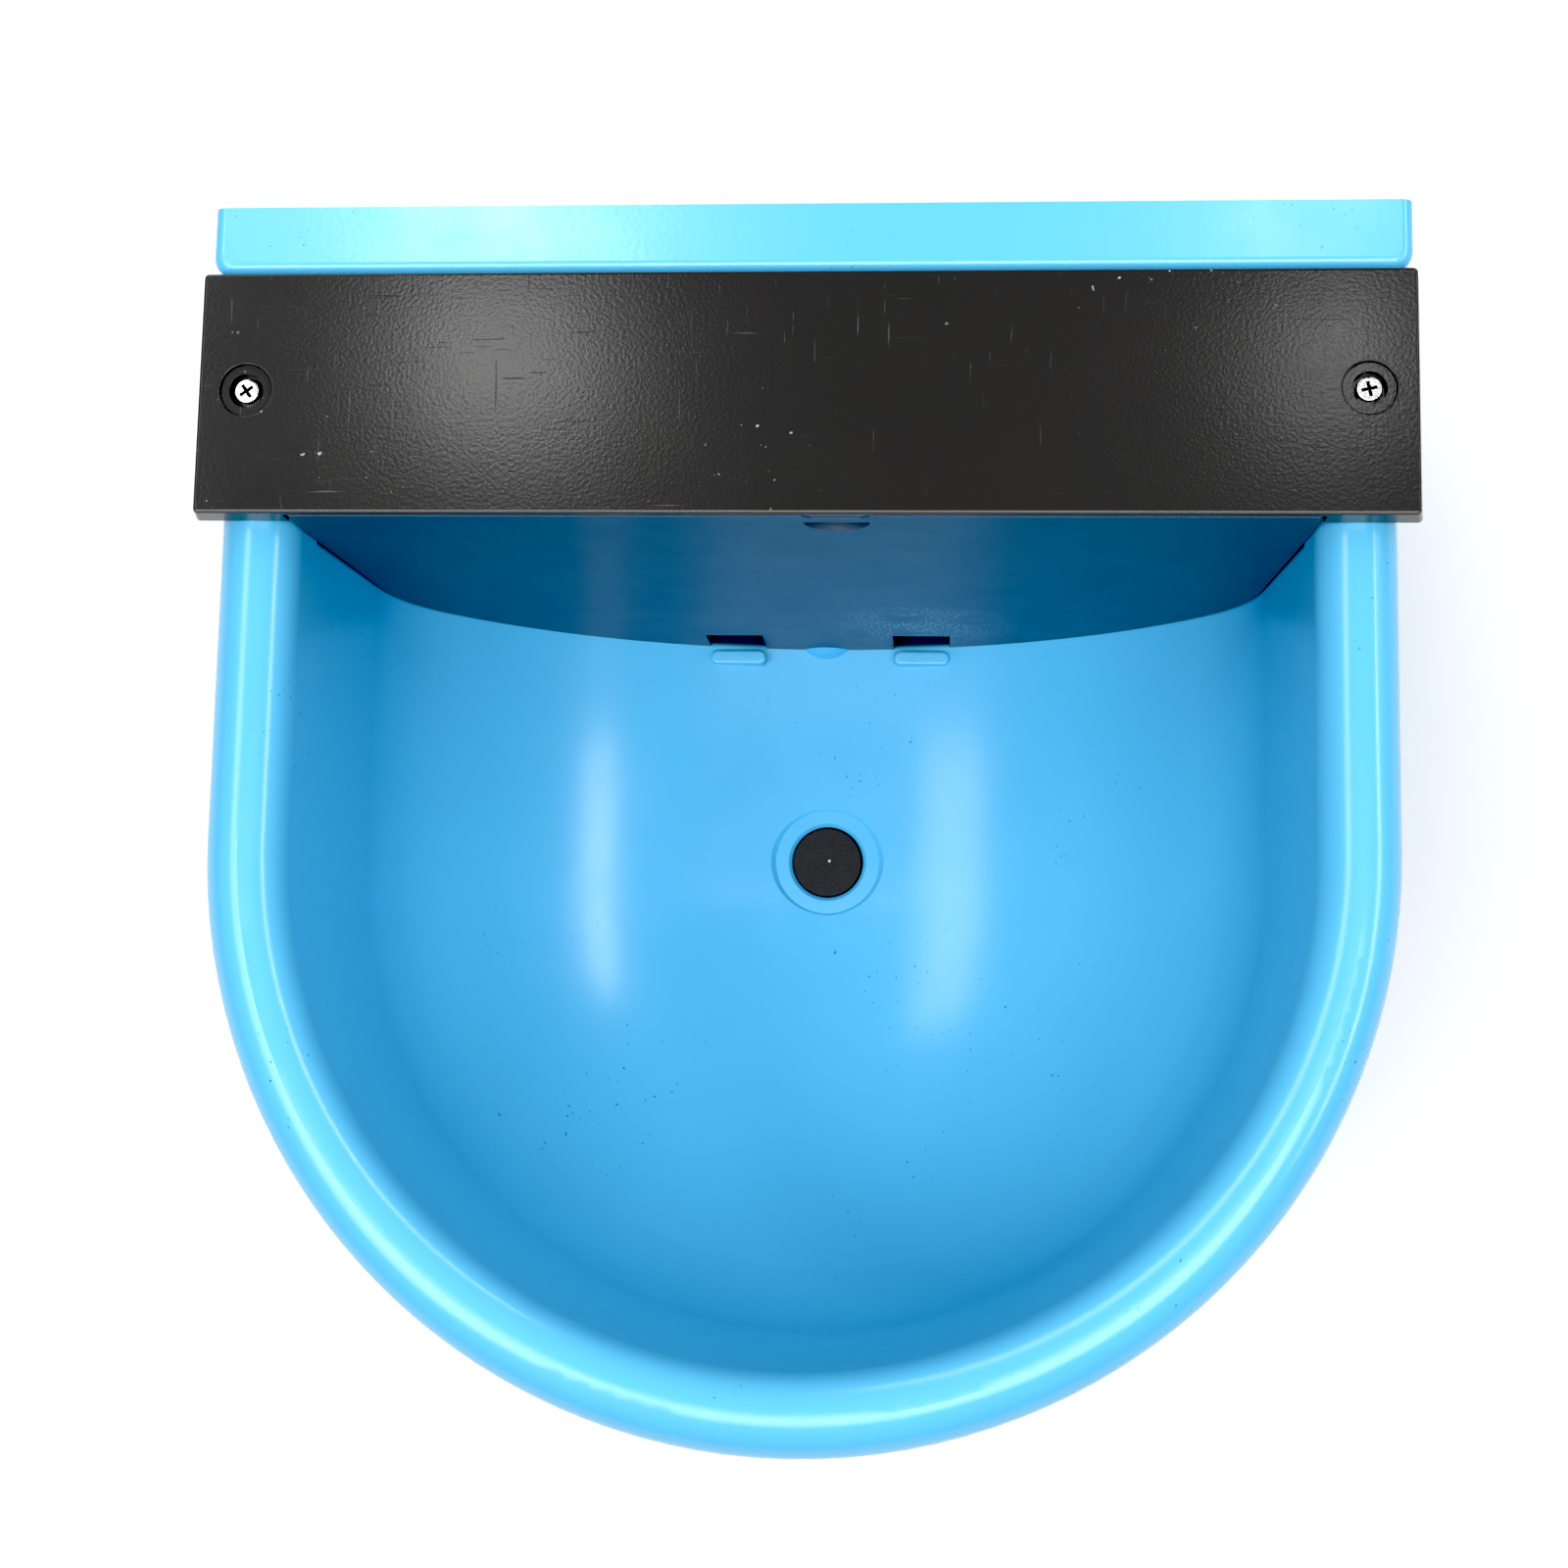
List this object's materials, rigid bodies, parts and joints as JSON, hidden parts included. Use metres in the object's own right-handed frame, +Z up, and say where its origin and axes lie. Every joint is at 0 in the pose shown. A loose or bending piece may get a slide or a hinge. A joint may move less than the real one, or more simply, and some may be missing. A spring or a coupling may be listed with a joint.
{
  "type": "livestock water bowl",
  "caption": "Wall-mounted automatic float-valve water bowl for livestock: D-shaped plastic basin, float chamber behind a baffle, screwed cover and rubber drain plug.",
  "frame": {"origin": "bottom centre of the overall box, on the plane that the foot ring and the wall plate stand on", "axes": "+Z up, +Y towards the wall, +X to the right of someone facing the wall; the round front points along -Y"},
  "size_m": [0.2988, 0.303, 0.1764],
  "materials": {
    "bowl_plastic": "smooth moulded polypropylene, sky blue",
    "baffle_plastic": "smooth moulded polypropylene, sky blue, in shade",
    "cover_plastic": "satin black moulded plastic with fine scratches",
    "screw_steel": "bright stainless steel",
    "plug_rubber": "matt black rubber",
    "valve_plastic": "black moulded plastic",
    "seat_brass": "turned brass",
    "gasket_rubber": "black rubber",
    "washer_plastic": "natural moulded plastic",
    "nut_plastic": "black moulded plastic",
    "strainer_plastic": "natural moulded plastic",
    "plunger_plastic": "white acetal",
    "seal_rubber": "black nitrile rubber",
    "pin_steel": "stainless steel",
    "lever_plastic": "white acetal",
    "rod_steel": "stainless steel",
    "float_plastic": "orange blow moulded plastic"
  },
  "bodies": {
    "bowl": {"basin_front": "bowl_plastic", "basin_rear": "bowl_plastic", "bowl_rim": "bowl_plastic", "wall_plate": "bowl_plastic", "foot_ring": "bowl_plastic", "baffle_plate": "baffle_plastic", "valve_cover": "cover_plastic", "cover_screws": "screw_steel", "valve_body": "valve_plastic", "valve_seat": "seat_brass", "inner_gasket": "gasket_rubber", "outer_washer": "washer_plastic", "inlet_locknut": "nut_plastic", "inlet_strainer": "strainer_plastic", "pivot_pin": "pin_steel", "pivot_clip": "pin_steel"},
    "float_arm": {"float_lever": "lever_plastic", "float_rod": "rod_steel", "rod_lock_nuts": "rod_steel", "float_tub": "float_plastic", "float_lid": "float_plastic"},
    "plunger_set": {"plunger": "plunger_plastic", "plunger_seal": "seal_rubber", "plunger_o_ring": "seal_rubber"},
    "plug": {"drain_plug": "plug_rubber"}
  },
  "joints": [
    {"name": "float_swing", "type": "hinge", "parent": "bowl", "child": "float_arm", "pos_m": [-0.076, 0.104, 0.118], "axis": [0, -1, 0], "range_deg": [0, 28]},
    {"name": "plunger_slide", "type": "slide", "parent": "bowl", "child": "plunger_set", "axis": [-1, 0, 0], "range_m": [0, 0.00355]},
    {"name": "plug_pull", "type": "slide", "parent": "bowl", "child": "plug", "axis": [0, 0, 1], "range_m": [0, 0.04]}
  ],
  "couplings": [
    {"joint": "plunger_slide", "follows": "float_swing", "m_per_rad": 0.007259}
  ]
}
